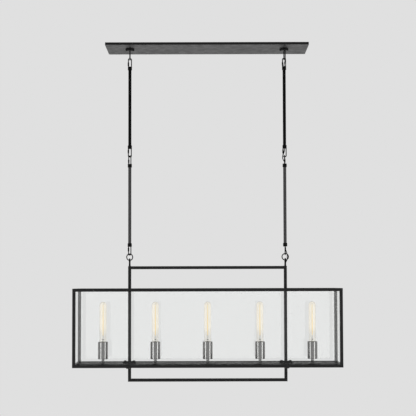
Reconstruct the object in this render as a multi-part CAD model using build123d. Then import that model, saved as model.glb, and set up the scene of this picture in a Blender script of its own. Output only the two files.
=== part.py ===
from build123d import *
import os
from math import cos, degrees, radians, sin, tan

# Linear island pendant. Origin: middle of the ceiling plate, on the ceiling. X runs along the lantern,
# Y points away from the viewer and Z points up, so all of the pendant lies below Z = 0. Millimetres.

# Ceiling plate, a folded pan that is open towards the ceiling
plate_length = 815.0
plate_width = 160.0
plate_depth = 10.0
plate_wall = 1.5
plate_corner = 4.0

# Mounting bar, screwed to a ceiling box through its two slots
mounting_bar_width = 28.0
mounting_bar_thickness = 2.0
mounting_bar_overhang = 20.0
box_screw_spacing = 88.9
box_slot_width = 4.5
box_slot_length = 12.0

# Studs that hang the collars from the mounting bar
stud_diameter = 8.0
stud_grip = 6.0
stud_nut_width = 13.0
stud_nut_height = 4.0

# Terminal block for the house supply
terminal_length = 24.0
terminal_width = 14.0
terminal_height = 6.0
terminal_start = 40.0
terminal_hole = 3.0

# Collar and fixed eye under each end of the ceiling plate
hang_spacing = 628.0
collar_diameter = 36.0
collar_height = 8.0
eye_wire = 4.5
eye_reach = 36.5

# Wire loops, one on each rod end, closed by a screw sleeve on one leg
link_wire = 4.0
link_width = 16.5
link_reach = 35.0
link_corner = 3.6
link_gap = 0.3
sleeve_diameter = 6.2
sleeve_length = 15.0
sleeve_start = 3.5

# Rods and their turned end fittings
rod_diameter = 12.7
rod_wall = 1.2
rod_length = 308.0
fitting_diameter = 17.0
fitting_height = 14.0
fitting_web = 5.0
fitting_chamfer = 0.8
turned_clearance = 0.05

# Turn of each loop about the upright axis, in degrees: 0 shows its opening to the viewer
upper_right_turn = (0.0, 0.0)
lower_right_turn = (90.0, 90.0)
upper_left_turn = (0.0, 25.0)
lower_left_turn = (-40.0, -35.0)
ring_right_turn = 0.0
ring_left_turn = 28.0

# Rings, and the eyes on top of the hoop
ring_diameter = 30.0
ring_wire = 4.0
hoop_eye_diameter = 24.0
hoop_eye_wire = 6.0
hoop_neck_diameter = 7.0
hoop_neck_height = 8.2
hoop_stub_length = 6.0

# Hoop, square tube mitred at its corners
hoop_height = 463.0
hoop_tube = 12.0
hoop_wall = 1.2

# Lantern, square bar
lantern_length = 1066.0
lantern_depth = 175.0
lantern_height = 311.5
lantern_drop = 89.5
bar_size = 12.0

# Glass panes and the clips that hold their top edges
pane_thickness = 3.0
pane_clearance = 0.3
cross_bar_height = 5.0
pane_top_margin = cross_bar_height + pane_clearance
clip_width = 12.0
clip_thickness = 1.2
clip_leg = 8.0
clip_long_places = (-400.0, -135.0, 135.0, 400.0)

# Floor, wiring space and what holds the lantern on the hoop
floor_sheet = 1.5
floor_lip = 1.5
floor_lip_thickness = 1.2
cover_sheet = 1.2
cover_clearance = 0.4
post_clearance = 0.2
strap_width = 12.0
strap_thickness = 3.0
saddle_length = 50.0
saddle_width = 22.0
saddle_height = 8.0
saddle_chamfer = 1.5
saddle_screw_spacing = 35.0
saddle_screw_head = 11.0
saddle_screw_head_height = 2.8
saddle_screw_shank = 4.0
saddle_screw_reach = 3.0
cover_screw_inset = 12.0
cover_screw_head = 6.0
cover_screw_head_height = 1.6
cover_screw_shank = 3.0

# Lights
lamp_count = 5
lamp_spacing = 210.5
cup_diameter = 40.5
cup_height = 68.5
cup_wall = 1.2
cup_floor = 1.5
cup_chamfer = 0.8
stem_height = 16.5
stem_diameter = 11.5
nipple_diameter = 10.0
nipple_bore = 7.0
nipple_grip = 16.0
nipple_nut_width = 14.0
nipple_nut_height = 3.0
nipple_end = 0.5
holder_diameter = 33.0
holder_base_diameter = 28.0
holder_base_height = 14.0
holder_margin = 2.2
holder_wire_room = 10.0

# Lamps, a 28 mm tube lamp with a 26 mm screw cap
lamp_length = 188.5
lamp_diameter = 28.0
lamp_wall = 1.0
lamp_seat = 28.0
lamp_neck_diameter = 24.4
lamp_neck_length = 6.0
lamp_shoulder = 5.0
cap_diameter = 26.0
cap_length = 24.5
cap_wall = 0.5
cap_thread_depth = 0.8
cap_thread_pitch = 3.6
cap_thread_turns = 4
cap_contact_diameter = 9.5
cap_contact_height = 2.0
cap_clearance = 0.5
lamp_seat_gap = 0.3
filament_diameter = 2.4
filament_length = 124.0
filament_top_margin = 11.3
mount_flare_thickness = 1.0
mount_stem_diameter = 8.0
mount_stem_height = 18.0
mount_press_diameter = 4.0
mount_press_height = 8.0
support_diameter = 1.2

# Power lead and wiring
lead_diameter = 3.6
lead_clearance = 0.3
branch_diameter = 2.4
trunk_offset = 16.0
splice_diameter = 6.0
splice_length = 12.0
post_slot_length = 5.0
post_slot_clearance = 0.6

# Heights, from the ceiling down
plate_under = -plate_depth
plate_inside = plate_under + plate_wall
collar_under = plate_under - collar_height
eye_bar = collar_under - eye_reach + eye_wire / 2
hang_x = hang_spacing / 2


def rod_levels(top_bar):
    """Heights down one rod whose top loop has the middle of its bar at top_bar."""
    top_face = top_bar + link_wire / 2 - link_reach
    bottom_face = top_face - 2 * fitting_height - rod_length
    return {
        "top_bar": top_bar,
        "top_face": top_face,
        "bottom_face": bottom_face,
        "bottom_bar": bottom_face - link_reach + link_wire / 2,
    }


upper = rod_levels(eye_bar + (eye_wire + link_wire) / 2 + link_gap)
lower = rod_levels(upper["bottom_bar"] + link_wire + link_gap)
ring_radius = (ring_diameter - ring_wire) / 2
ring_centre = lower["bottom_bar"] + (link_wire + ring_wire) / 2 + link_gap - ring_radius
hoop_eye_radius = (hoop_eye_diameter - hoop_eye_wire) / 2
hoop_eye_bar = ring_centre - ring_radius + (ring_wire + hoop_eye_wire) / 2 + link_gap
hoop_eye_centre = hoop_eye_bar - hoop_eye_radius
hoop_top = hoop_eye_centre - hoop_eye_diameter / 2 - hoop_neck_height
hoop_bottom = hoop_top - hoop_height
lantern_top = hoop_top - lantern_drop
lantern_bottom = lantern_top - lantern_height
floor_top = lantern_bottom + bar_size
floor_under = floor_top - floor_sheet
cover_top = lantern_bottom + cover_sheet
wiring_height = (floor_under + cover_top) / 2
cup_bottom = floor_top + stem_height
cup_top = cup_bottom + cup_height
lamp_bottom = cup_top - lamp_seat
lamp_top = lamp_bottom + lamp_length
cap_top = lamp_bottom + cap_length

# Half sizes inside the lantern's bars
inner_x = lantern_length / 2 - bar_size
inner_y = lantern_depth / 2 - bar_size
lamp_places = [(i - (lamp_count - 1) / 2) * lamp_spacing for i in range(lamp_count)]


def block(x, y, z):
    """A block that spans (low, high) along each axis."""
    spans = [(min(pair), max(pair)) for pair in (x, y, z)]
    middle = [(low + high) / 2 for low, high in spans]
    size = [high - low for low, high in spans]
    return Pos(*middle) * Box(*size)


def rod_between(diameter, low, high, x=0.0, y=0.0):
    """An upright round bar between two heights."""
    return Pos(x, y, (low + high) / 2) * Cylinder(diameter / 2, high - low)


def turned(*outline):
    """A turned piece: its half section as (radius, height) points, turned about the Z axis."""
    return revolve(Plane.XZ * make_face(Polyline(*outline, close=True)), Axis.Z)


def hexagon(width, low, high, x=0.0, y=0.0):
    """A hexagonal nut body of a width across flats, between two heights."""
    outline = RegularPolygon(width / 2, 6, major_radius=False)
    return Pos(x, y, low) * extrude(outline, high - low)


def sweep_wire(points, radii, diameter):
    """A round wire along straight runs joined by tangent arcs."""
    path = FilletPolyline(*points, radius=radii)
    start = Vector(*points[0])
    along = Vector(*points[1]) - start
    return sweep(Plane(origin=start, z_dir=along) * Circle(diameter / 2), path=path)


def lead_radii(points):
    """The largest arc at each corner that its two runs leave room for."""
    radii = []
    for before, corner, after in zip(points, points[1:], points[2:]):
        first = Vector(*corner) - Vector(*before)
        second = Vector(*after) - Vector(*corner)
        half_turn = radians(first.get_angle(second)) / 2
        radii.append(0.45 * min(first.length, second.length) / tan(half_turn))
    return radii


def lead(points, name, diameter=lead_diameter):
    """A stretch of the lead along its chosen points."""
    radii = lead_radii(points)
    print(name, "arc radii", [round(radius, 1) for radius in radii])
    return sweep_wire(points, radii, diameter)


# Ceiling fitting ---------------------------------------------------------------------------------


def wire_bow(width, reach, wire):
    """A U of wire that hangs from height 0, with its legs side by side along X."""
    side = (width - wire) / 2
    bar = -reach + wire / 2
    points = [(-side, 0, 0), (-side, 0, bar), (side, 0, bar), (side, 0, 0)]
    return sweep_wire(points, link_corner, wire)


def lead_exit():
    """The lead inside the ceiling fitting: along the pan from the terminal block, then down."""
    x = hang_x + 5.1
    y = -4.6
    run_height = plate_inside + terminal_height / 2
    row = -mounting_bar_width / 2 - terminal_width / 2 - 3.0
    start = terminal_start + terminal_length
    return [(start, row, run_height), (x, row, run_height), (x, y, run_height), (x, y, collar_under)]


def lead_exit_wire(diameter):
    """The lead's own body inside the ceiling fitting, or the wider channel that it runs in."""
    return sweep_wire(lead_exit(), [10.0, 7.5], diameter)


def ceiling_plate():
    half_length = plate_length / 2
    half_width = plate_width / 2
    outer = block((-half_length, half_length), (-half_width, half_width), (plate_under, 0))
    outer = fillet(outer.edges().filter_by(Axis.Z), plate_corner)
    half_length -= plate_wall
    half_width -= plate_wall
    inner = block((-half_length, half_length), (-half_width, half_width), (plate_inside, 1))
    inner = fillet(inner.edges().filter_by(Axis.Z), plate_corner - plate_wall)
    pan = outer - inner
    for side in (-1, 1):
        hole = stud_diameter + 2 * turned_clearance
        pan -= rod_between(hole, plate_under - 1, plate_inside + 1, side * hang_x)
    return pan - lead_exit_wire(lead_diameter + 2 * lead_clearance)


def mounting_bar():
    half_length = hang_x + mounting_bar_overhang
    half_width = mounting_bar_width / 2
    bar = block((-half_length, half_length), (-half_width, half_width), (-mounting_bar_thickness, 0))
    for side in (-1, 1):
        hole = stud_diameter + 2 * turned_clearance
        bar -= rod_between(hole, -mounting_bar_thickness - 1, 1, side * hang_x)
        slot = SlotOverall(box_slot_length, box_slot_width)
        slot = Pos(side * box_screw_spacing / 2, 0, -mounting_bar_thickness - 1) * slot
        bar -= extrude(slot, mounting_bar_thickness + 2)
    return bar


def hanging_studs():
    low = plate_under - stud_grip
    return [rod_between(stud_diameter, low, -0.2, side * hang_x) for side in (-1, 1)]


def stud_nuts():
    nuts = []
    high = -mounting_bar_thickness
    low = high - stud_nut_height
    hole = stud_diameter + 2 * turned_clearance
    for side in (-1, 1):
        nut = hexagon(stud_nut_width, low, high, side * hang_x)
        nuts.append(nut - rod_between(hole, low - 1, high + 1, side * hang_x))
    return nuts


def terminal_block():
    row = lead_exit()[0][1]
    body = block(
        (terminal_start, terminal_start + terminal_length),
        (row - terminal_width / 2, row + terminal_width / 2),
        (plate_inside, plate_inside + terminal_height),
    )
    for place in (-1, 0, 1):
        x = terminal_start + terminal_length / 2 + place * terminal_length / 4
        top = plate_inside + terminal_height
        body -= rod_between(terminal_hole, top - 2, top + 1, x, row + terminal_width / 4)
    return body


def ceiling_collars():
    collars = []
    for side in (-1, 1):
        body = rod_between(collar_diameter, collar_under, plate_under)
        body = fillet(body.edges().group_by(Axis.Z)[0], 1.2)
        bore = stud_diameter + 2 * turned_clearance
        body -= rod_between(bore, plate_under - stud_grip - 0.2, plate_under + 1)
        collars.append(Pos(side * hang_x, 0, 0) * body)
    collars[1] -= lead_exit_wire(lead_diameter + 2 * lead_clearance)
    return collars


def ceiling_eyes():
    bow = Rot(0, 0, 90) * wire_bow(link_width, eye_reach, eye_wire)
    return [Pos(side * hang_x, 0, collar_under) * bow for side in (-1, 1)]


# Rods, loops and rings -----------------------------------------------------------------------------


def end_fitting():
    """A turned fitting with its wire loop hanging below height 0, its rod socket facing up."""
    outer = fitting_diameter / 2
    bore = rod_diameter / 2 + turned_clearance
    wireway = lead_diameter / 2 + lead_clearance
    body = turned(
        (wireway, 0),
        (outer - fitting_chamfer, 0),
        (outer, fitting_chamfer),
        (outer, fitting_height - fitting_chamfer),
        (outer - fitting_chamfer, fitting_height),
        (bore, fitting_height),
        (bore, fitting_web),
        (wireway, fitting_web),
    )
    return body + wire_bow(link_width, link_reach, link_wire)


def screw_sleeve():
    """The threaded sleeve on one leg of a loop, with the loop's fitting face at height 0."""
    leg = -(link_width - link_wire) / 2
    top = -sleeve_start
    low = top - sleeve_length
    sleeve = rod_between(sleeve_diameter, low, top, leg)
    return sleeve - rod_between(link_wire + 2 * turned_clearance, low - 1, top + 1, leg)


def rod_fittings(side, levels, turns):
    """The two end fittings of a rod and the sleeves on their loops."""
    pieces = []
    for piece in (end_fitting(), screw_sleeve()):
        top = Pos(side * hang_x, 0, levels["top_face"]) * Rot(0, 0, turns[0]) * Rot(180, 0, 0) * piece
        low = Pos(side * hang_x, 0, levels["bottom_face"]) * Rot(0, 0, turns[1]) * piece
        pieces += [top, low]
    return pieces


def rod(side, levels):
    """A hollow rod between the webs of its two end fittings."""
    low = levels["bottom_face"] + fitting_web
    high = levels["top_face"] - fitting_web
    tube = rod_between(rod_diameter, low, high, side * hang_x)
    return tube - rod_between(rod_diameter - 2 * rod_wall, low - 1, high + 1, side * hang_x)


def lead_in_rod(levels):
    """The lead where it runs straight down inside a rod of the right-hand suspension."""
    return rod_between(lead_diameter, levels["bottom_face"], levels["top_face"], hang_x)


def ring(side, turn):
    body = Rot(90, 0, 0) * Torus(ring_radius, ring_wire / 2)
    return Pos(side * hang_x, 0, ring_centre) * Rot(0, 0, turn) * body


# Routes of the lead beside the links: offsets from the right-hand hanging axis, then the height.
lead_top_route = [
    (5.1, -4.6, collar_under),
    (5.1, -4.6, eye_bar + 2.3),
    (2.6, -2.5, eye_bar - 10.8),
    (0.0, 0.0, upper["top_face"] + 6.5),
    (0.0, 0.0, upper["top_face"]),
]
lead_middle_route = [
    (0.0, 0.0, upper["bottom_face"]),
    (0.0, 0.0, upper["bottom_face"] - 6.5),
    (-1.8, -4.6, upper["bottom_face"] - 15.0),
    (-6.0, -7.4, upper["bottom_face"] - 23.5),
    (-8.9, -6.6, upper["bottom_face"] - 33.0),
    (-8.2, -4.2, upper["bottom_face"] - 42.5),
    (-3.8, -1.6, lower["top_face"] + 12.0),
    (0.0, 0.0, lower["top_face"] + 6.0),
    (0.0, 0.0, lower["top_face"]),
]
lead_ring_route = [
    (0.0, 0.0, lower["bottom_face"]),
    (0.0, 0.0, lower["bottom_face"] - 6.6),
    (2.2, -1.4, lower["bottom_face"] - 14.0),
    (5.0, -3.8, ring_centre + 19.6),
    (7.2, -5.2, ring_centre + 10.1),
    (7.8, -5.3, ring_centre + 4.6),
]
lead_hoop_route = [
    (7.8, -5.3, ring_centre + 4.6),
    (8.4, -5.4, ring_centre - 0.9),
    (7.4, -5.0, ring_centre - 9.5),
    (4.8, -3.4, hoop_eye_centre - 0.4),
    (1.4, -1.0, hoop_eye_centre - 7.6),
    (0.0, 0.0, hoop_eye_centre - 13.6),
    (0.0, 0.0, hoop_top),
]


def on_axis(route, side=1):
    """A route's points, moved out to the hanging axis of one side."""
    return [(side * hang_x + x, y, z) for x, y, z in route]


def hoop_eyes():
    """Eyes on the hoop, each drilled with a slanting channel that lets the lead into the hoop."""
    channel_route = lead_hoop_route[3:-1] + [(0.0, 0.0, hoop_top - hoop_stub_length - 1)]
    eyes = []
    for side in (-1, 1):
        eye = Rot(0, 90, 0) * Torus(hoop_eye_radius, hoop_eye_wire / 2)
        eye = Pos(side * hang_x, 0, hoop_eye_centre) * eye
        eye += rod_between(hoop_neck_diameter, hoop_top, hoop_eye_centre - hoop_eye_radius, side * hang_x)
        stub = hoop_neck_diameter - 1.0
        eye += rod_between(stub, hoop_top - hoop_stub_length, hoop_top + 1, side * hang_x)
        points = on_axis(channel_route, side)
        channel = sweep_wire(points, lead_radii(points), lead_diameter + 2 * lead_clearance)
        eyes.append(eye - channel)
    return eyes


# Hoop ------------------------------------------------------------------------------------------------


def mitred_tube(outline, x, z):
    """A hollow square tube, cut to the mitred outline that it has in the XZ plane."""
    half = hoop_tube / 2
    tube = block(x, (-half, half), z)
    inset = hoop_wall
    wide = (x[1] - x[0]) > (z[1] - z[0])
    bore_x = x if wide else (x[0] + inset, x[1] - inset)
    bore_z = (z[0] + inset, z[1] - inset) if wide else z
    tube -= block(bore_x, (-half + inset, half - inset), bore_z)
    prism = extrude(Plane.XZ * make_face(Polyline(*outline, close=True)), hoop_tube, both=True)
    return tube & prism


def hoop_bars():
    out = hang_x + hoop_tube / 2
    inside = hang_x - hoop_tube / 2
    bars = []
    for outer, inner in ((hoop_top, hoop_top - hoop_tube), (hoop_bottom, hoop_bottom + hoop_tube)):
        outline = [(-out, outer), (out, outer), (inside, inner), (-inside, inner)]
        bars.append(mitred_tube(outline, (-out, out), (min(outer, inner), max(outer, inner))))
    for side in (-1, 1):
        hole = hoop_neck_diameter - 1.0 + 2 * turned_clearance
        bars[0] -= rod_between(hole, hoop_top - hoop_tube, hoop_top + 1, side * hang_x)
    return bars


def hoop_posts():
    posts = []
    for side in (-1, 1):
        out = side * (hang_x + hoop_tube / 2)
        inside = side * (hang_x - hoop_tube / 2)
        outline = [
            (out, hoop_top),
            (inside, hoop_top - hoop_tube),
            (inside, hoop_bottom + hoop_tube),
            (out, hoop_bottom),
        ]
        x = (min(out, inside), max(out, inside))
        posts.append(mitred_tube(outline, x, (hoop_bottom, hoop_top)))
    stub_hole = hoop_neck_diameter - 1.0 + 2 * turned_clearance
    for index, side in enumerate((-1, 1)):
        posts[index] -= rod_between(stub_hole, hoop_top - hoop_tube, hoop_top + 1, side * hang_x)
    half_slot = post_slot_length / 2
    slot_height = lead_diameter / 2 + post_slot_clearance
    slot = block(
        (hang_x - hoop_tube, hang_x - hoop_tube / 2 + hoop_wall + 0.5),
        (-half_slot, half_slot),
        (wiring_height - slot_height, wiring_height + slot_height),
    )
    posts[1] -= slot
    return posts


# Lantern frame ----------------------------------------------------------------------------------------


def long_rails(low):
    """The front and back rails whose undersides lie at one height."""
    half = lantern_length / 2
    outer = lantern_depth / 2
    rails = []
    for side in (-1, 1):
        rails.append(block((-half, half), (side * inner_y, side * outer), (low, low + bar_size)))
    return rails


def end_rails():
    rails = []
    for side in (-1, 1):
        for low in (lantern_bottom, lantern_top - bar_size):
            x = (side * inner_x, side * lantern_length / 2)
            rails.append(block(x, (-inner_y, inner_y), (low, low + bar_size)))
    return rails


def corner_posts():
    posts = []
    for side in (-1, 1):
        for face in (-1, 1):
            x = (side * inner_x, side * lantern_length / 2)
            y = (face * inner_y, face * lantern_depth / 2)
            posts.append(block(x, y, (lantern_bottom + bar_size, lantern_top - bar_size)))
    return posts


def top_cross_bars():
    """Bars from the long rails to the hoop posts, level with the top rails."""
    bars = []
    half = bar_size / 2
    for side in (-1, 1):
        for face in (-1, 1):
            x = (side * hang_x - half, side * hang_x + half)
            y = (face * hoop_tube / 2, face * inner_y)
            bars.append(block(x, y, (lantern_top - cross_bar_height, lantern_top)))
    return bars


def cross_straps():
    """Flat straps welded under the bottom rails and to the hoop posts, which carry the lantern."""
    straps = []
    half = strap_width / 2
    for side in (-1, 1):
        for face in (-1, 1):
            x = (side * hang_x - half, side * hang_x + half)
            y = (face * hoop_tube / 2, face * lantern_depth / 2)
            straps.append(block(x, y, (lantern_bottom - strap_thickness, lantern_bottom)))
    return straps


# Glass ------------------------------------------------------------------------------------------------


def long_panes():
    half = inner_x - pane_clearance
    top = lantern_top - pane_top_margin
    panes = []
    for face in (-1, 1):
        y = (face * inner_y, face * (inner_y - pane_thickness))
        panes.append(block((-half, half), y, (floor_top, top)))
    return panes


def end_panes():
    half = inner_y - pane_thickness - pane_clearance
    top = lantern_top - pane_top_margin
    panes = []
    for side in (-1, 1):
        x = (side * inner_x, side * (inner_x - pane_thickness))
        panes.append(block(x, (-half, half), (floor_top, top)))
    return panes


def clip(width):
    """A folded clip that hooks over a pane's top edge, from a rail whose inner face is at X = 0."""
    top = lantern_top - pane_top_margin + clip_thickness
    reach = pane_thickness + clip_thickness
    hook = block((0, reach), (-width / 2, width / 2), (top - clip_thickness, top))
    return hook + block((pane_thickness, reach), (-width / 2, width / 2), (top - clip_leg, top))


def glass_clips():
    clips = []
    for place in clip_long_places:
        clips.append(Pos(place, -inner_y, 0) * Rot(0, 0, 90) * clip(clip_width))
        clips.append(Pos(place, inner_y, 0) * Rot(0, 0, -90) * clip(clip_width))
    clips.append(Pos(-inner_x, 0, 0) * clip(clip_width))
    clips.append(Pos(inner_x, 0, 0) * Rot(0, 0, 180) * clip(clip_width))
    return clips


# Floor ------------------------------------------------------------------------------------------------


def post_holes(low, high):
    """Square clearances for the two hoop posts, between two heights."""
    half = hoop_tube / 2 + post_clearance
    holes = []
    for side in (-1, 1):
        holes.append(block((side * hang_x - half, side * hang_x + half), (-half, half), (low, high)))
    return holes


def saddle_screw_places():
    """Places of the four saddle screws along X."""
    places = []
    for side in (-1, 1):
        for end in (-1, 1):
            places.append(side * hang_x + end * saddle_screw_spacing / 2)
    return places


def floor_pan():
    pan = block((-inner_x, inner_x), (-inner_y, inner_y), (floor_under, floor_top))
    lip_x = inner_x - pane_thickness - pane_clearance
    lip_y = inner_y - pane_thickness - pane_clearance
    lip = block((-lip_x, lip_x), (-lip_y, lip_y), (floor_under, floor_top + floor_lip))
    core_x = lip_x - floor_lip_thickness
    core_y = lip_y - floor_lip_thickness
    lip -= block((-core_x, core_x), (-core_y, core_y), (floor_top, floor_top + floor_lip + 1))
    pan += lip
    for hole in post_holes(floor_under - 1, floor_top + 1):
        pan -= hole
    for place in lamp_places:
        pan -= rod_between(nipple_diameter + 2 * turned_clearance, floor_under - 1, floor_top + 1, place)
    for place in saddle_screw_places():
        pan -= rod_between(saddle_screw_shank + 2 * turned_clearance, floor_under - 1, floor_top + 1, place)
    return pan


def cover_screw_places():
    """Places of the six cover screws: the corners and the middle of each long side."""
    far_x = inner_x - cover_screw_inset
    far_y = inner_y - cover_screw_inset
    return [(x, y) for x in (-far_x, 0.0, far_x) for y in (-far_y, far_y)]


def wireway_cover():
    half_x = inner_x - cover_clearance
    half_y = inner_y - cover_clearance
    cover = block((-half_x, half_x), (-half_y, half_y), (lantern_bottom, cover_top))
    for hole in post_holes(lantern_bottom - 1, cover_top + 1):
        cover -= hole
    hole = cover_screw_shank + 2 * turned_clearance
    for x, y in cover_screw_places():
        cover -= rod_between(hole, lantern_bottom - 1, cover_top + 1, x, y)
    return cover


def cover_screws():
    screws = []
    low = lantern_bottom - cover_screw_head_height
    for x, y in cover_screw_places():
        head = rod_between(cover_screw_head, low, lantern_bottom, x, y)
        head = fillet(head.edges().group_by(Axis.Z)[0], 0.8)
        screws.append(head + rod_between(cover_screw_shank, lantern_bottom - 1, floor_under, x, y))
    return screws


def post_saddles():
    """Blocks that steady the hoop posts where they pass the lantern's floor."""
    saddles = []
    half = saddle_length / 2
    top = floor_top + saddle_height
    for side in (-1, 1):
        saddle = block((-half, half), (-saddle_width / 2, saddle_width / 2), (floor_top, top))
        saddle = chamfer(saddle.edges().group_by(Axis.Z)[-1], saddle_chamfer)
        saddle = Pos(side * hang_x, 0, 0) * saddle
        for hole in post_holes(floor_top - 1, top + 1):
            saddle -= hole
        for place in saddle_screw_places():
            saddle -= rod_between(saddle_screw_shank + 2 * turned_clearance, floor_top - 1, top + 1, place)
        saddles.append(saddle)
    return saddles


def saddle_screws():
    screws = []
    seat = floor_top + saddle_height
    for place in saddle_screw_places():
        head = rod_between(saddle_screw_head, seat, seat + saddle_screw_head_height, place)
        head = fillet(head.edges().group_by(Axis.Z)[-1], 1.0)
        shank = rod_between(saddle_screw_shank, floor_under - saddle_screw_reach, seat + 1, place)
        screws.append(head + shank)
    return screws


# Lights ------------------------------------------------------------------------------------------------


def at_lamps(piece):
    """Copies of a piece at each lamp's place."""
    return [Pos(place, 0, 0) * piece for place in lamp_places]


def socket_cup():
    outer = cup_diameter / 2
    inner = outer - cup_wall
    hole = nipple_diameter / 2 + turned_clearance
    return turned(
        (hole, cup_bottom),
        (outer - cup_chamfer, cup_bottom),
        (outer, cup_bottom + cup_chamfer),
        (outer, cup_top),
        (inner, cup_top),
        (inner, cup_bottom + cup_floor),
        (hole, cup_bottom + cup_floor),
    )


def lampholder():
    seat = cup_bottom + cup_floor
    rim = cup_top - holder_margin
    outer = holder_diameter / 2
    base = holder_base_diameter / 2
    socket = cap_diameter / 2 + cap_clearance
    socket_floor = lamp_bottom - lamp_seat_gap
    nipple_top = seat + nipple_grip
    nipple_hole = nipple_diameter / 2 + turned_clearance
    wire_room = nipple_bore / 2 - turned_clearance
    return turned(
        (nipple_hole, seat),
        (base, seat),
        (base, seat + holder_base_height),
        (outer, seat + holder_base_height + 2),
        (outer, rim - 1),
        (outer - 1, rim),
        (socket, rim),
        (socket, socket_floor),
        (0, socket_floor),
        (0, nipple_top + holder_wire_room),
        (wire_room, nipple_top + holder_wire_room),
        (wire_room, nipple_top),
        (nipple_hole, nipple_top),
    )


def stem_sleeve():
    hole = nipple_diameter / 2 + turned_clearance
    outer = stem_diameter / 2
    return turned((hole, floor_top), (outer, floor_top), (outer, cup_bottom), (hole, cup_bottom))


def stem_nipple():
    low = floor_under - nipple_nut_height - nipple_end
    high = cup_bottom + cup_floor + nipple_grip
    inner = nipple_bore / 2
    outer = nipple_diameter / 2
    return turned((inner, low), (outer, low), (outer, high), (inner, high))


def nipple_nut():
    nut = hexagon(nipple_nut_width, floor_under - nipple_nut_height, floor_under)
    hole = nipple_diameter + 2 * turned_clearance
    return nut - rod_between(hole, floor_under - nipple_nut_height - 1, floor_under + 1)


def lamp_envelope(radius, neck_radius, low, shoulder, high):
    """A solid tube-lamp shape: neck, sloping shoulder, straight wall and domed top."""
    side = Polyline(
        (0, low), (neck_radius, low), (neck_radius, shoulder - lamp_shoulder), (radius, shoulder),
        (radius, high - radius),
    )
    half_way = radius * cos(radians(45))
    dome = ThreePointArc((radius, high - radius), (half_way, high - radius + half_way), (0, high))
    axis = Line((0, high), (0, low))
    return revolve(Plane.XZ * make_face([side, dome, axis]), Axis.Z)


def lamp_glass():
    radius = lamp_diameter / 2
    neck = lamp_neck_diameter / 2
    low = cap_top - lamp_neck_length
    shoulder = cap_top + lamp_shoulder + 1.0
    outer = lamp_envelope(radius, neck, low, shoulder, lamp_top)
    inner_top = lamp_top - lamp_wall
    inner = lamp_envelope(radius - lamp_wall, neck - lamp_wall, low - 1, shoulder, inner_top)
    return outer - inner


def lamp_cap():
    """A screw cap with rolled threads: its wall bulges out once a turn."""
    outer = cap_diameter / 2
    root = outer - cap_thread_depth
    contact = cap_contact_diameter / 2
    skirt = lamp_bottom + cap_contact_height
    first_turn = skirt + 3.0
    outline = [(0, lamp_bottom), (contact, lamp_bottom), (contact, skirt), (root - 1.0, skirt + 1.5)]
    for turn in range(cap_thread_turns):
        start = first_turn + turn * cap_thread_pitch
        outline += [(root, start), (outer, start + cap_thread_pitch / 2)]
    outline += [(root, first_turn + cap_thread_turns * cap_thread_pitch), (outer, cap_top - 2.0)]
    neck = lamp_neck_diameter / 2 + turned_clearance
    seat = cap_top - lamp_neck_length
    inner = root - cap_wall
    outline += [(outer, cap_top), (neck, cap_top), (neck, seat), (inner, seat), (inner, first_turn)]
    outline += [(0, first_turn)]
    return turned(*outline)


def lamp_filament():
    """The flared glass mount, its supports and the long straight filament, one above another."""
    neck = lamp_neck_diameter / 2 - lamp_wall - 0.2
    low = cap_top - lamp_neck_length
    stem = mount_stem_diameter / 2
    press = mount_press_diameter / 2
    support = support_diameter / 2
    thread = filament_diameter / 2
    stem_top = low + mount_stem_height
    press_top = stem_top + mount_press_height
    filament_high = lamp_top - filament_top_margin
    filament_low = filament_high - filament_length
    return turned(
        (0, low),
        (neck, low),
        (neck, low + mount_flare_thickness),
        (stem, low + 4 * mount_flare_thickness),
        (stem, stem_top),
        (press, stem_top + 1),
        (press, press_top),
        (support, press_top + 1),
        (support, filament_low - 1),
        (thread, filament_low),
        (thread, filament_high),
        (support, filament_high + 1),
        (support, filament_high + 5),
        (0, filament_high + 5),
    )


# Wiring ------------------------------------------------------------------------------------------------


def wiring_harness():
    """The lead down the right hoop post, a trunk under the floor and a branch up each stem."""
    last = lamp_places[-1]
    splice_x = hang_x - 29.0
    riser = [
        (hang_x, 0, hoop_top),
        (hang_x, 0, wiring_height),
        (hang_x - 16.0, 0, wiring_height),
        (splice_x, trunk_offset, wiring_height),
        (splice_x - 14.0, trunk_offset, wiring_height),
    ]
    harness = sweep_wire(riser, [5.0, 8.0, 8.0], lead_diameter)
    half_trunk = last + splice_length / 2
    trunk = Pos(0, trunk_offset, wiring_height) * Rot(0, 90, 0) * Cylinder(lead_diameter / 2, 2 * half_trunk)
    harness += trunk
    branch_height = cover_top + branch_diameter / 2 + 0.4
    top = cup_bottom + cup_floor + nipple_grip + holder_wire_room - 1.0
    for place in lamp_places:
        route = [(place, trunk_offset, branch_height), (place, 0, branch_height), (place, 0, top)]
        harness += sweep_wire(route, 3.0, branch_diameter)
        splice = Rot(0, 90, 0) * Cylinder(splice_diameter / 2, splice_length)
        harness += Pos(place, trunk_offset, wiring_height) * splice
    return harness


# All pieces --------------------------------------------------------------------------------------------

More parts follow.
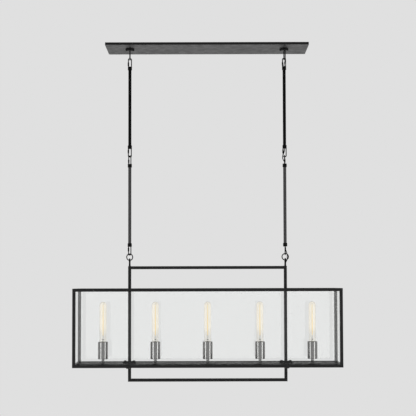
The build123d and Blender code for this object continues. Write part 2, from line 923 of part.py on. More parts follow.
nodes = {
    "ceiling_plate": [ceiling_plate()],
    "mounting_bar": [mounting_bar()],
    "hanging_studs": hanging_studs() + stud_nuts(),
    "terminal_block": [terminal_block()],
    "ceiling_collars": ceiling_collars(),
    "ceiling_eyes": ceiling_eyes(),
    "rod_upper_right": [rod(1, upper)],
    "rod_lower_right": [rod(1, lower)],
    "rod_upper_left": [rod(-1, upper)],
    "rod_lower_left": [rod(-1, lower)],
    "fittings_upper_right": rod_fittings(1, upper, upper_right_turn),
    "fittings_lower_right": rod_fittings(1, lower, lower_right_turn),
    "fittings_upper_left": rod_fittings(-1, upper, upper_left_turn),
    "fittings_lower_left": rod_fittings(-1, lower, lower_left_turn),
    "ring_right": [ring(1, ring_right_turn)],
    "ring_left": [ring(-1, ring_left_turn)],
    "lead_ceiling": [lead_exit_wire(lead_diameter), lead(on_axis(lead_top_route), "lead_ceiling")],
    "lead_upper_rod": [lead_in_rod(upper)],
    "lead_middle": [lead(on_axis(lead_middle_route), "lead_middle")],
    "lead_lower_rod": [lead_in_rod(lower)],
    "lead_ring": [lead(on_axis(lead_ring_route), "lead_ring")],
    "lead_hoop": [lead(on_axis(lead_hoop_route), "lead_hoop")],
    "hoop_eyes": hoop_eyes(),
    "hoop_bars": hoop_bars(),
    "hoop_posts": hoop_posts(),
    "top_rails": long_rails(lantern_top - bar_size),
    "bottom_rails": long_rails(lantern_bottom),
    "end_rails": end_rails(),
    "corner_posts": corner_posts(),
    "top_cross_bars": top_cross_bars(),
    "cross_straps": cross_straps(),
    "long_panes": long_panes(),
    "end_panes": end_panes(),
    "glass_clips": glass_clips(),
    "floor_pan": [floor_pan()],
    "wireway_cover": [wireway_cover()],
    "cover_screws": cover_screws(),
    "post_saddles": post_saddles(),
    "saddle_screws": saddle_screws(),
    "wiring_harness": [wiring_harness()],
    "socket_cups": at_lamps(socket_cup()),
    "lampholders": at_lamps(lampholder()),
    "stem_sleeves": at_lamps(stem_sleeve()),
    "stem_nipples": at_lamps(stem_nipple()) + at_lamps(nipple_nut()),
}
for number, place in enumerate(lamp_places, start=1):
    nodes[f"lamp_{number}_glass"] = [Pos(place, 0, 0) * lamp_glass()]
    nodes[f"lamp_{number}_cap"] = [Pos(place, 0, 0) * lamp_cap()]
    nodes[f"lamp_{number}_filament"] = [Pos(place, 0, 0) * lamp_filament()]

os.makedirs("parts", exist_ok=True)
for name, shapes in nodes.items():
    solids = [solid for shape in shapes for solid in shape.solids()]
    export_step(Compound(children=solids), f"parts/{name}.step")
print(len(nodes), "nodes; lantern from", round(lantern_bottom, 1), "to", round(lantern_top, 1))
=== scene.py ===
from math import pi, radians

import bmesh
import bpy
import numpy as np
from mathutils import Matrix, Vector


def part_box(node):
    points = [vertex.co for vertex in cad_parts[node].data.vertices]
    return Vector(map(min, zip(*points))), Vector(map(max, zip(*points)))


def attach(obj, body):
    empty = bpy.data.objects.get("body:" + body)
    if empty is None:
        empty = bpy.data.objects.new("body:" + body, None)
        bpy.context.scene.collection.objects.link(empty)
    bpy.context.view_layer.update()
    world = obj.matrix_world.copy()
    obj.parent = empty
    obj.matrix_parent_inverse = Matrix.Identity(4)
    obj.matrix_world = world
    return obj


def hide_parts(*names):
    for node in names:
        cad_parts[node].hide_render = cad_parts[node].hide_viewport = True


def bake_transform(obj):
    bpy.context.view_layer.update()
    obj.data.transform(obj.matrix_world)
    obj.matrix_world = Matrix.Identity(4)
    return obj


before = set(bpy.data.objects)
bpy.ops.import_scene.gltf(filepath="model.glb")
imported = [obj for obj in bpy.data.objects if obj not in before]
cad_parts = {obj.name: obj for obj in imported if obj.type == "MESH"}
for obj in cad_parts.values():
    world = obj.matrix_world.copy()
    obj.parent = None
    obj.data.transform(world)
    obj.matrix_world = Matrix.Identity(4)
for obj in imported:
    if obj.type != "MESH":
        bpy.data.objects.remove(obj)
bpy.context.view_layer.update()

# The view -------------------------------------------------------------
# A long lens stands 3.8 m off, just above the height of the lantern's top. It looks up by under
# three degrees and the picture is shifted up for the rest, so the rods stay nearly parallel.
lens_place = (0.0019, -3.8, -0.96)
lens_focus = 81.44
picture_shift = 0.08
picture_tilt = 2.52
picture_roll = 0.14


def in_scene(name, data):
    """A new object in the scene, at the origin, from its data."""
    thing = bpy.data.objects.new(name, data)
    bpy.context.scene.collection.objects.link(thing)
    return thing


camera_data = bpy.data.cameras.new("view")
camera_data.sensor_width = 36.0
camera_data.lens = lens_focus
camera_data.shift_y = picture_shift
camera = in_scene("view", camera_data)
camera.location = lens_place
camera.rotation_euler = (radians(90 + picture_tilt), radians(picture_roll), 0)
bpy.context.scene.camera = camera
bpy.context.scene.view_settings.view_transform = "Standard"

# The room -------------------------------------------------------------
# A pale even room. Metal and glass also show its pale back wall, and a duller, darker front where
# the room behind the lens and the ceiling would be.
room_colour = (0.745, 0.745, 0.745, 1.0)
room_light = (0.72, 0.72, 0.72, 1.0)
front_colour = (0.36, 0.36, 0.36, 1.0)
ceiling_colour = (0.10, 0.10, 0.10, 1.0)

world = bpy.data.worlds.new("pale_room")
world.use_nodes = True
world.cycles.sampling_method = "NONE"
bpy.context.scene.world = world


def link_chain(tree, *sockets):
    """Links sockets in pairs: an output, then the input that it feeds."""
    for output, target in zip(sockets[::2], sockets[1::2]):
        tree.links.new(output, target)


def set_sockets(node, values):
    """Sets a node's own sockets, by name or by place, and hands the node back."""
    for socket, value in values.items():
        node.inputs[socket].default_value = value
    return node


def map_range(tree, values, smooth=False):
    """A node that carries the range from values[0] to values[1] over to the one from values[2] to
    values[3], or to 0 to 1 where only two values are given."""
    ramp = tree.nodes.new("ShaderNodeMapRange")
    if smooth:
        ramp.interpolation_type = "SMOOTHSTEP"
    return set_sockets(ramp, dict(zip(("From Min", "From Max", "To Min", "To Max"), values)))


def two_tone(tree, first, second):
    """A node that mixes two colours."""
    return set_sockets(tree.nodes.new("ShaderNodeMixRGB"), {1: first, 2: second})


def mix_shaders(tree, share, first, second):
    """A mix of two shaders: all the first at a share of 0, all the second at 1."""
    mix = tree.nodes.new("ShaderNodeMixShader")
    link_chain(tree, share, mix.inputs[0], first, mix.inputs[1], second, mix.inputs[2])
    return mix.outputs[0]


def room_shader(tree):
    """The room: pale for the lens and through glass, plain light for lit surfaces, and for mirrors
    a mix by direction: front by how far -Y it points, ceiling by how far it points up."""
    nodes = tree.nodes
    nodes.clear()
    output = nodes.new("ShaderNodeOutputWorld")
    direction = nodes.new("ShaderNodeTexCoord")
    parts = nodes.new("ShaderNodeSeparateXYZ")
    front = map_range(tree, (0.93, 0.62), True)
    up = map_range(tree, (0.10, 0.34), True)
    ahead = two_tone(tree, front_colour, ceiling_colour)
    mirrored = set_sockets(nodes.new("ShaderNodeMixRGB"), {1: room_colour})
    rays = nodes.new("ShaderNodeLightPath")
    lit = set_sockets(nodes.new("ShaderNodeBackground"), {"Color": room_light})
    shown = set_sockets(nodes.new("ShaderNodeBackground"), {"Color": room_colour})
    reflected = nodes.new("ShaderNodeBackground")
    seen = nodes.new("ShaderNodeMath")
    seen.operation = "MAXIMUM"
    link_chain(
        tree,
        direction.outputs["Generated"], parts.inputs[0],
        parts.outputs["Y"], front.inputs["Value"],
        parts.outputs["Z"], up.inputs["Value"],
        up.outputs[0], ahead.inputs[0],
        front.outputs[0], mirrored.inputs[0],
        ahead.outputs[0], mirrored.inputs[2],
        mirrored.outputs[0], reflected.inputs["Color"],
        rays.outputs["Is Camera Ray"], seen.inputs[0],
        rays.outputs["Is Transmission Ray"], seen.inputs[1],
    )
    unseen = mix_shaders(tree, rays.outputs["Is Glossy Ray"], lit.outputs[0], reflected.outputs[0])
    whole = mix_shaders(tree, seen.outputs[0], unseen, shown.outputs[0])
    tree.links.new(whole, output.inputs["Surface"])


room_shader(world.node_tree)

# The floor ------------------------------------------------------------
# A plain pale floor, painted matt, well below the light. It is a round sheet whose rim fades into
# the room.
floor_height = -3.3
floor_reach = 4.7
floor_colour = (0.72, 0.72, 0.72, 1.0)


def new_finish(name):
    """A new material and the tree of its nodes."""
    material = bpy.data.materials.new(name)
    material.use_nodes = True
    return material, material.node_tree


def floor_shader(tree):
    """Matt paint that fades to clear between 60% and 98% of the floor's reach from its middle."""
    nodes = tree.nodes
    matt = {"Base Color": floor_colour, "Roughness": 0.9, "Specular IOR Level": 0.1}
    shader = set_sockets(nodes["Principled BSDF"], matt)
    place = nodes.new("ShaderNodeTexCoord")
    flat = nodes.new("ShaderNodeVectorMath")
    flat.operation = "MULTIPLY"
    set_sockets(flat, {1: (1, 1, 0)})
    length = nodes.new("ShaderNodeVectorMath")
    length.operation = "LENGTH"
    fade = map_range(tree, (0.60 * floor_reach, 0.98 * floor_reach), True)
    clear = nodes.new("ShaderNodeBsdfTransparent")
    faded = mix_shaders(tree, fade.outputs[0], shader.outputs[0], clear.outputs[0])
    link_chain(
        tree,
        place.outputs["Object"], flat.inputs[0],
        flat.outputs["Vector"], length.inputs[0],
        length.outputs["Value"], fade.inputs["Value"],
        faded, nodes["Material Output"].inputs["Surface"],
    )


floor_paint, floor_tree = new_finish("floor_paint")
floor_shader(floor_tree)
floor_corners = 96
around = np.linspace(0, 2 * pi, floor_corners, endpoint=False)
floor_x, floor_y = floor_reach * np.cos(around), floor_reach * np.sin(around)
floor_rim = np.stack([floor_x, floor_y, np.full(floor_corners, floor_height)], axis=1)
floor_mesh = bpy.data.meshes.new("floor")
floor_mesh.from_pydata(floor_rim.tolist(), [], [list(range(floor_corners))])
floor_mesh.materials.append(floor_paint)
floor = in_scene("floor", floor_mesh)

# Lamps of the studio --------------------------------------------------
# Two tall soft strips stand left and right of the lens and draw the bright lines down round metal.
# A broad soft lamp above gives the floor its shadow. Two windows behind the lens are there for the
# long panes alone, one for each to mirror.


def soft_lamp(name, place, aim, width, height, radiance):
    """A rectangular soft lamp that faces a point. Its power is radiance times area times pi."""
    data = bpy.data.lights.new(name, "AREA")
    data.shape = "RECTANGLE"
    data.size = width
    data.size_y = height
    data.energy = radiance * width * height * pi
    lamp = in_scene(name, data)
    away = np.array(place, float) - np.array(aim, float)
    across = np.arctan2(away[0], -away[1])
    level = np.hypot(away[0], away[1])
    lamp.location = place
    lamp.rotation_euler = (pi / 2 - np.arctan2(away[2], level), 0, across)
    lamp.visible_camera = False
    lamp.visible_transmission = False
    return lamp


strip_azimuth = radians(52)
strip_distance = 2.6
strip_height = -1.2
lamp_aim = (0, 0, -1.1)
for side in (-1, 1):
    across, ahead = strip_distance * np.sin(strip_azimuth), -strip_distance * np.cos(strip_azimuth)
    place = (side * across, ahead, strip_height)
    soft_lamp(f"strip_{side + 1}", place, (0, 0, strip_height), width=0.9, height=2.0, radiance=1.6)
broad = soft_lamp("broad", (0.6, -2.2, 1.6), lamp_aim, width=2.4, height=1.6, radiance=1.1)
broad.visible_glossy = False
window_place = (0, -5.5, -0.95)
windows = {}
for face, radiance in (("front", 0.3), ("back", 2.3)):
    windows[face] = soft_lamp(f"{face}_window", window_place, lamp_aim, 3.4, 2.4, radiance)

# The ceiling plate ----------------------------------------------------
# A shallow pan folded from 1.5 mm sheet steel and powder-coated satin black.
# It lies open side up against the ceiling, and the suspension hangs through it.
black = (0.004, 0.004, 0.0042, 1.0)


def noise_at(tree, scale, detail=3.0):
    """Noise in the piece's own coordinates, in steps per metre."""
    place = tree.nodes.new("ShaderNodeTexCoord")
    noise = set_sockets(tree.nodes.new("ShaderNodeTexNoise"), {"Scale": scale, "Detail": detail})
    tree.links.new(place.outputs["Object"], noise.inputs["Vector"])
    return noise.outputs["Fac"]


def spread(tree, value, low, high):
    """A noise value from its middle range to low and high."""
    area = map_range(tree, (0.3, 0.7, low, high))
    tree.links.new(value, area.inputs["Value"])
    return area.outputs[0]


def gloss_by(tree, value, low, high):
    """Roughness between two limits by a noise value."""
    shader = tree.nodes["Principled BSDF"]
    tree.links.new(spread(tree, value, low, high), shader.inputs["Roughness"])


def tone_by(tree, value, first, second):
    """Base colour between two tones by a noise value."""
    shade = two_tone(tree, first, second)
    tree.links.new(spread(tree, value, 0.0, 1.0), shade.inputs[0])
    tree.links.new(shade.outputs[0], tree.nodes["Principled BSDF"].inputs["Base Color"])


def relief_by(tree, value, strength, distance):
    """A bumpy skin whose height is a noise value."""
    bump = tree.nodes.new("ShaderNodeBump")
    set_sockets(bump, {"Strength": strength, "Distance": distance})
    tree.links.new(value, bump.inputs["Height"])
    tree.links.new(bump.outputs["Normal"], tree.nodes["Principled BSDF"].inputs["Normal"])


def scaled(colour, share):
    """A colour made darker or lighter, opaque."""
    return [share * part for part in colour[:3]] + [1.0]


def powder_coat(name, colour, shine):
    """Baked powder: a fine orange-peel skin, with cloudy changes in its gloss and its tone."""
    material, tree = new_finish(name)
    set_sockets(tree.nodes["Principled BSDF"], {"Specular IOR Level": shine})
    gloss_by(tree, noise_at(tree, 38.0), 0.34, 0.46)
    tone_by(tree, noise_at(tree, 140.0), scaled(colour, 0.8), scaled(colour, 1.25))
    relief_by(tree, noise_at(tree, 1400.0, 2.0), 0.25, 0.00005)
    return material


def dress(node, finish):
    """Gives a modelled node its finish and leaves its shape alone."""
    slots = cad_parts[node].data.materials
    slots.clear()
    slots.append(finish)


plate_coat = powder_coat("plate_powder_coat", black, 0.56)
dress("ceiling_plate", plate_coat)

# The mounting bar, its studs and the terminal block -------------------
# Zinc-plated steel: the bar screws to the ceiling box through its slots, and each stud and nut
# clamps a collar to it. The terminal block is pale moulded plastic.


def clouded(name, scale, detail, tones, roughness, metallic, shine):
    """A finish whose tone and gloss change together, by one noise."""
    material, tree = new_finish(name)
    set_sockets(tree.nodes["Principled BSDF"], {"Metallic": metallic, "Specular IOR Level": shine})
    cloud = noise_at(tree, scale, detail)
    tone_by(tree, cloud, *tones)
    gloss_by(tree, cloud, *roughness)
    return material


def moulded_plastic(name, colour, roughness):
    """Moulded plastic with a faint grain."""
    material, tree = new_finish(name)
    tone_by(tree, noise_at(tree, 90.0), scaled(colour, 0.92), colour)
    gloss_by(tree, noise_at(tree, 2200.0, 2.0), roughness - 0.06, roughness + 0.06)
    return material


zinc_tones = ((0.42, 0.43, 0.44, 1.0), (0.60, 0.60, 0.58, 1.0))
hidden_zinc = clouded("zinc_plate", 170.0, 4.0, zinc_tones, (0.42, 0.28), metallic=1.0, shine=0.5)
for node in ("mounting_bar", "hanging_studs", "stem_nipples"):
    dress(node, hidden_zinc)
dress("terminal_block", moulded_plastic("terminal_plastic", (0.72, 0.70, 0.63, 1.0), 0.45))

# The collars under the plate ------------------------------------------
# Two discs turned from steel bar, rounded over at their lower edge and coated with the plate. A
# stud and its nut clamp each one against the plate.
plate_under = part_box("ceiling_plate")[0][2]
collars_low, collars_high = np.array(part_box("ceiling_collars"))
collar_radius = (collars_high[1] - collars_low[1]) / 2
hang_x = collars_high[0] - collar_radius
collar_under = collars_low[2]
collar_edge = 0.0006
collar_rounding = 0.0016
sides = {"right": np.array([hang_x, 0.0, 0.0]), "left": np.array([-hang_x, 0.0, 0.0])}


def soften(outline, radius):
    """Rounds each corner of a closed outline: a parabola from one radius before the corner to one
    radius after it. A further point, beyond each end, keeps the flats flat when smoothed."""
    outline = np.asarray(outline, float)
    back = np.roll(outline, 1, axis=0) - outline
    on = np.roll(outline, -1, axis=0) - outline
    back_length = np.linalg.norm(back, axis=1, keepdims=True)
    on_length = np.linalg.norm(on, axis=1, keepdims=True)
    reach = np.minimum(radius, 0.24 * np.minimum(back_length, on_length))
    start = back / back_length * reach
    end = on / on_length * reach
    share = np.linspace(0, 1, 5)[None, :, None]
    curve = (1 - share) ** 2 * start[:, None] + share**2 * end[:, None]
    rows = np.concatenate([1.9 * start[:, None], curve, 1.9 * end[:, None]], axis=1)
    return (outline[:, None] + rows).reshape(-1, outline.shape[1])


def round_axis(outline, steps, x_middle=0.0):
    """Rows of points round an upright axis, one for each (radius, height) point of an outline."""
    outline = np.asarray(outline, float)
    angle = np.linspace(0, 2 * pi, steps, endpoint=False)
    x = outline[:, :1] * np.cos(angle) + x_middle
    y = outline[:, :1] * np.sin(angle)
    return np.stack([x, y, np.broadcast_to(outline[:, 1:], x.shape)], axis=-1)


def turned(outline, softness, centre=(0, 0, 0), steps=48):
    """A turned surface: an outline of (radius, height) points, softened, then carried round the
    upright axis through the centre. It starts and ends on the axis, or else closes on itself."""
    outline = np.asarray(outline, float)
    rounded = soften(outline, softness).reshape(len(outline), -1, 2)
    on_axis = outline[0, 0] == 0 and outline[-1, 0] == 0
    if on_axis:
        rounded[0] = outline[0]
        rounded[-1] = outline[-1]
    return round_axis(rounded.reshape(-1, 2), steps) + np.asarray(centre, float), not on_axis


def surface_faces(grid, ring):
    """The four-cornered faces of a grid whose columns close on themselves, and whose rows do too
    where it is a ring. They are turned so that the volume inside counts as positive."""
    rows, columns = grid.shape[:2]
    row = np.arange(rows if ring else rows - 1)[:, None]
    column = np.arange(columns)[None, :]
    after = (column + 1) % columns
    below = (row + 1) % rows * columns
    here = row * columns
    faces = np.stack([here + column, here + after, below + after, below + column], axis=-1)
    faces = faces.reshape(-1, 4)
    points = (grid - grid.mean(axis=(0, 1))).reshape(-1, 3)
    a, b, c, d = (points[faces[:, corner]] for corner in range(4))
    volume = np.einsum("ij,ij->", a, np.cross(b, c) + np.cross(c, d))
    return faces if volume > 0 else faces[:, ::-1]


def add_piece(name, surfaces, finish, body, slot, *nodes, sharp=32):
    """One piece from surfaces, each a grid of points and whether it is a ring. It rides on a body
    and stands for the nodes that are named last. The slot argument is not used."""
    points, faces, count = [], [], 0
    for grid, ring in surfaces:
        faces.append(surface_faces(grid, ring) + count)
        points.append(grid.reshape(-1, 3))
        count += points[-1].shape[0]
    mesh = bpy.data.meshes.new(name)
    mesh.from_pydata(np.concatenate(points).tolist(), [], np.concatenate(faces).tolist())
    sewn = bmesh.new()
    sewn.from_mesh(mesh)
    bmesh.ops.remove_doubles(sewn, verts=sewn.verts, dist=2e-6)
    sewn.to_mesh(mesh)
    sewn.free()
    mesh.shade_smooth()
    mesh.set_sharp_from_angle(angle=radians(sharp))
    mesh.materials.append(finish)
    piece = in_scene(name, mesh)
    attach(piece, body)
    if nodes:
        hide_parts(*nodes)
    return piece


collar_outline = [
    (0, plate_under),
    (collar_radius - collar_edge, plate_under),
    (collar_radius, plate_under - collar_edge),
    (collar_radius, collar_under + collar_rounding),
    (collar_radius - collar_rounding, collar_under),
    (0, collar_under),
]
collars = [turned(collar_outline, collar_edge, centre, 64) for centre in sides.values()]
add_piece("collars", collars, plate_coat, "ceiling_fitting", "black_metal", "ceiling_collars")

# The fixed eyes -------------------------------------------------------
# Two deep U shapes bent from round steel wire and coated. Their legs are welded into the collars,
# with a small bead round each.
eye_low, eye_high = np.array(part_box("ceiling_eyes"))
eye_wire = 0.0045
eye_width = eye_high[1] - eye_low[1]
eye_reach = collar_under - eye_low[2]
bend = 0.0036


def round_section(radius, steps=20):
    """Points round a circle."""
    angle = np.linspace(0, 2 * pi, steps, endpoint=False)
    return radius * np.stack([np.cos(angle), np.sin(angle)], axis=1)


def carry(section, path, across, ring=False):
    """A section carried along a flat path. Its first coordinate lies in the path's plane and its
    second along the plane's normal; where the path turns, the row leans half way, as in a mitre."""
    path = np.asarray(path, float)
    across = np.asarray(across, float)
    ahead = np.roll(path, -1, axis=0) - path
    if not ring:
        ahead[-1] = ahead[-2]
    ahead /= np.linalg.norm(ahead, axis=1, keepdims=True)
    behind = np.roll(ahead, 1, axis=0)
    if not ring:
        behind[0] = ahead[0]
    lean = ahead + behind
    lean /= np.linalg.norm(lean, axis=1, keepdims=True)
    stretch = 1 / np.einsum("ij,ij->i", lean, ahead)
    side = np.cross(lean, across) * stretch[:, None]
    grid = path[:, None] + section[None, :, :1] * side[:, None] + section[None, :, 1:] * across
    if not ring:
        ends = [np.broadcast_to(path[end], grid[:1].shape) for end in (0, -1)]
        grid = np.concatenate([ends[0], grid, ends[1]])
    return grid, ring


def bow_path(width, reach, wire):
    """The middle line of a U that hangs from height 0: two legs, two quarter bends and a bar."""
    side = (width - wire) / 2
    low = wire / 2 - reach
    turn = np.linspace(0, pi / 2, 8)
    bend_x = -side + bend * (1 - np.cos(turn))
    bend_z = low + bend * (1 - np.sin(turn))
    half = np.stack([np.append(-side, bend_x), np.zeros(9), np.append(0.0005, bend_z)], axis=1)
    return np.concatenate([half, half[::-1] * (-1, 1, 1)])


def set_at(surface, height, turn, upside_down, centre):
    """A surface made at the origin: turned over or not, turned about the upright axis, moved."""
    grid, ring = surface
    if upside_down:
        grid = grid * (1, -1, -1)
    x, y, z = np.moveaxis(grid, -1, 0)
    cosine, sine = np.cos(radians(turn)), np.sin(radians(turn))
    grid = np.stack([x * cosine - y * sine, x * sine + y * cosine, z], axis=-1)
    return grid + np.asarray(centre, float) + (0, 0, height), ring


def weld_bead(radius, leg, flare):
    """A ring of weld where a leg of wire meets the face above it: a fillet, sunk in a little."""
    sunk = 0.0002
    outline = [(radius - sunk, 0), (radius + flare, 0), (radius - sunk, -flare - sunk)]
    return turned(outline, sunk, (leg, 0, 0), 24)


eye_bow = carry(round_section(eye_wire / 2), bow_path(eye_width, eye_reach, eye_wire), (0, 1, 0))
eye_leg = (eye_width - eye_wire) / 2
eye_parts = [eye_bow] + [weld_bead(eye_wire / 2, leg, 0.0011) for leg in (-eye_leg, eye_leg)]
eye_surfaces = []
for part in eye_parts:
    eye_surfaces += [set_at(part, collar_under, 90, False, centre) for centre in sides.values()]
add_piece("fixed_eyes", eye_surfaces, plate_coat, "ceiling_fitting", "black_metal", "ceiling_eyes")

# The rods -------------------------------------------------------------
# Four lengths of straight 12.7 mm steel tube, powder-coated. Their two coats paint light: the upper
# two are darker and duller, painted shade near the ceiling, and the lower two paler and glossier,
# painted light lower down. Each is pushed into a turned fitting at both ends.
# The upper coat is painted shade and the lower coat painted light, on one and the same coat.
rod_coats_painted_light = {
    "upper": powder_coat("upper_rod_painted_shade_coat", (0.001, 0.001, 0.001, 1.0), 0.15),
    "lower": powder_coat("lower_rod_painted_light_coat", (0.040, 0.039, 0.0395, 1.0), 0.5),
}
wire_coat = powder_coat("wire_powder_coat", black, 0.1)
rod_diameter = 0.0127
rod_wall = 0.0012
end_soft = 0.0003


def tube(node, centre):
    """A hollow tube along the height of its node."""
    low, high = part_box(node)
    outer, inner = rod_diameter / 2, rod_diameter / 2 - rod_wall
    outline = [(inner, low[2]), (outer, low[2]), (outer, high[2]), (inner, high[2])]
    return turned(outline, end_soft, centre, 40)


for level in ("upper", "lower"):
    for word, centre in sides.items():
        node = f"rod_{level}_{word}"
        body = f"{level}_{word}"
        add_piece(f"tube_{body}", [tube(node, centre)], rod_coats_painted_light[level], body, "black_metal", node)

# The rods' end fittings -----------------------------------------------
# Each is a turned collar that takes the tube, with a long loop of 4 mm wire welded to its face.
# One leg of the loop opens for assembly, and a knurled screw sleeve closes it.
link_wire = 0.004
link_width = 0.0165
link_reach = 0.035
fitting_radius = 0.0085
fitting_height = 0.014
fitting_web = 0.005
fitting_edge = 0.0008
lead_way = 0.0021
sleeve_radius = 0.0031
sleeve_start = 0.0035
sleeve_length = 0.015
sleeve_edge = 0.0004
knurl_count = 15
knurl_rise = 0.0016
fit_play = 0.00005
loop_turns = {
    "upper_right": (0.0, 0.0),
    "lower_right": (90.0, 90.0),
    "upper_left": (0.0, 25.0),
    "lower_left": (-40.0, -35.0),
}
fitting_outline = [
    (lead_way, 0),
    (fitting_radius - fitting_edge, 0),
    (fitting_radius, fitting_edge),
    (fitting_radius, 0.0042),
    (fitting_radius - 0.0003, 0.0045),
    (fitting_radius, 0.0048),
    (fitting_radius, fitting_height - fitting_edge),
    (fitting_radius - fitting_edge, fitting_height),
    (rod_diameter / 2 + fit_play, fitting_height),
    (rod_diameter / 2 + fit_play, fitting_web),
    (lead_way, fitting_web),
]
link_leg = (link_width - link_wire) / 2
link_path = bow_path(link_width, link_reach, link_wire)
link_bow = carry(round_section(link_wire / 2), link_path, (0, 1, 0))
fitting_parts = [turned(fitting_outline, 0.0003), link_bow]
fitting_parts += [weld_bead(link_wire / 2, leg, 0.0004) for leg in (-link_leg, link_leg)]


def knurled_sleeve():
    """A sleeve round one leg, knurled: its radius follows two crossing cosine waves, multiplied."""
    top = -sleeve_start
    low = top - sleeve_length
    inner = link_wire / 2 + fit_play
    rim = sleeve_radius - sleeve_edge
    outline = [(inner, low), (rim, low), (sleeve_radius, low + sleeve_edge)]
    heights = np.linspace(low + 0.0014, top - 0.0014, 34)
    outline += [(sleeve_radius, height) for height in heights]
    outline += [(sleeve_radius, top - sleeve_edge), (rim, top), (inner, top)]
    grid, ring = turned(outline, 0.00012, (0, 0, 0), 60)
    x, y, z = np.moveaxis(grid, -1, 0)
    radius = np.hypot(x, y)
    angle = np.arctan2(y, x)
    within = (z > low + 0.001) & (z < top - 0.001) & (radius > sleeve_radius - 0.0001)
    slant = 2 * pi * z / knurl_rise
    ripple = np.cos(knurl_count * angle + slant) * np.cos(knurl_count * angle - slant)
    depth = 0.00016 * (ripple - 0.5) * within
    scale = 1 + depth / radius
    return np.stack([x * scale - link_leg, y * scale, z], axis=-1), ring


sleeve = knurled_sleeve()
for name, turns in loop_turns.items():
    level, word = name.split("_")
    low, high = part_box(f"fittings_{name}")
    upper_end = (high[2] - link_reach, turns[0], True, sides[word])
    lower_end = (low[2] + link_reach, turns[1], False, sides[word])
    ends = (upper_end, lower_end)
    shells = [set_at(part, *end) for part in fitting_parts for end in ends]
    sleeves = [set_at(sleeve, *end) for end in ends]
    add_piece(f"end_loops_{name}", shells, wire_coat, name, "black_metal", f"fittings_{name}")
    add_piece(f"screw_sleeves_{name}", sleeves, wire_coat, name, "black_metal", f"fittings_{name}")

# The rings ------------------------------------------------------------
# Two rings of 4 mm round steel wire, butt-welded and coated. Each joins a lower rod's loop to one
# of the hoop's eyes.
ring_wire = 0.004
ring_turns = {"right": 0.0, "left": 28.0}


def round_ring(radius, wire):
    """A ring in the upright plane through X: a round section carried round a circle."""
    angle = np.linspace(0, 2 * pi, 72, endpoint=False)
    path = radius * np.stack([np.cos(angle), 0 * angle, np.sin(angle)], axis=1)
    return carry(round_section(wire / 2), path, (0, 1, 0), True)


def ring_weld(radius, wire):
    """The weld on a ring's side: a short swelling of the wire, tapering to nothing at both ends."""
    angle = np.linspace(-0.16, 0.16, 9)
    path = radius * np.stack([np.cos(angle), 0 * angle, np.sin(angle)], axis=1)
    grid, ring = carry(round_section(wire / 2), path, (0, 1, 0))
    swell = 0.00028 * np.cos(angle / 0.16 * pi / 2) ** 2 - 0.00005
    outward = grid[1:-1] - path[:, None]
    grid[1:-1] += outward / (wire / 2) * swell[:, None, None]
    return grid, ring


for word, centre in sides.items():
    low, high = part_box(f"ring_{word}")
    radius = (high[2] - low[2] - ring_wire) / 2
    middle = (high[2] + low[2]) / 2
    parts = [round_ring(radius, ring_wire), ring_weld(radius, ring_wire)]
    rings = [set_at(part, middle, ring_turns[word], False, centre) for part in parts]
    add_piece(f"round_ring_{word}", rings, wire_coat, f"ring_{word}", "black_metal", f"ring_{word}")

# The eyes on the hoop -------------------------------------------------
# Two cast eyes, coated with the hoop. Each has a short neck that stands on the hoop's corner, and
# the lead goes down through the right-hand one.
frame_coat = powder_coat("frame_powder_coat", (0.007, 0.007, 0.0073, 1.0), 0.5)
hoop_low, hoop_high = np.array(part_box("hoop_posts"))
hoop_eye_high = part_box("hoop_eyes")[1][2]
hoop_eye_wire = 0.006
hoop_eye_radius = 0.009
hoop_neck_radius = 0.0035
neck_sunk = 0.0005
hoop_eye_middle = hoop_eye_high - hoop_eye_radius - hoop_eye_wire / 2
hoop_top = hoop_high[2]


def eye_neck():
    """The neck: a waist under the ring that flares to a foot on the hoop."""
    height = np.linspace(0, 1, 12)
    top = hoop_eye_middle - hoop_eye_radius
    radius = hoop_neck_radius + 0.0012 * (1 - height) ** 4 + 0.0004 * height**3
    outline = [(0, hoop_top - neck_sunk), (radius[0], hoop_top - neck_sunk)]
    outline += zip(radius, hoop_top + height * (top - hoop_top))
    return turned(outline + [(0, top)], 0.0001)


eye_ring = round_ring(hoop_eye_radius, hoop_eye_wire)
eye_surfaces = []
for centre in sides.values():
    eye_surfaces.append(set_at(eye_ring, hoop_eye_middle, 90, False, centre))
    eye_surfaces.append(set_at(eye_neck(), 0.0, 0, False, centre))
add_piece("cast_eyes", eye_surfaces, wire_coat, "lantern", "black_metal", "hoop_eyes")

# The lead -------------------------------------------------------------
# One limp lead with a smooth black jacket. It leaves the ceiling fitting beside the right-hand eye,
# runs inside the rods and crosses each link outside, then enters the hoop through its eye.
lead_width = 0.0036
lead_points = {  # in millimetres
    "lead_middle": [
        (314.0, 0.0, -416.7), (314.0, 0.0, -423.2), (312.2, -4.6, -431.7), (308.0, -7.4, -440.2),
        (305.1, -6.6, -449.7), (305.8, -4.2, -459.2), (310.2, -1.6, -466.4), (314.0, 0.0, -472.4),
        (314.0, 0.0, -478.4),
    ],
    "lead_ring": [
        (314.0, 0.0, -814.4), (314.0, 0.0, -821.0), (316.2, -1.4, -828.4), (319.0, -3.8, -836.5),
        (321.2, -5.2, -846.0), (321.8, -5.3, -851.5),
    ],
    "lead_hoop": [
        (321.8, -5.3, -851.5), (322.4, -5.4, -857.0), (321.4, -5.0, -865.6), (318.8, -3.4, -873.2),
        (315.4, -1.0, -880.4), (314.0, 0.0, -886.4), (314.0, 0.0, -893.0),
    ],
    "lead_ceiling": [
        (64.0, -24.0, -5.5), (319.1, -24.0, -5.5), (319.1, -4.6, -5.5), (319.1, -4.6, -18.0),
        (319.1, -4.6, -50.0), (316.6, -2.5, -63.0), (314.0, 0.0, -74.2), (314.0, 0.0, -80.7),
    ],
}


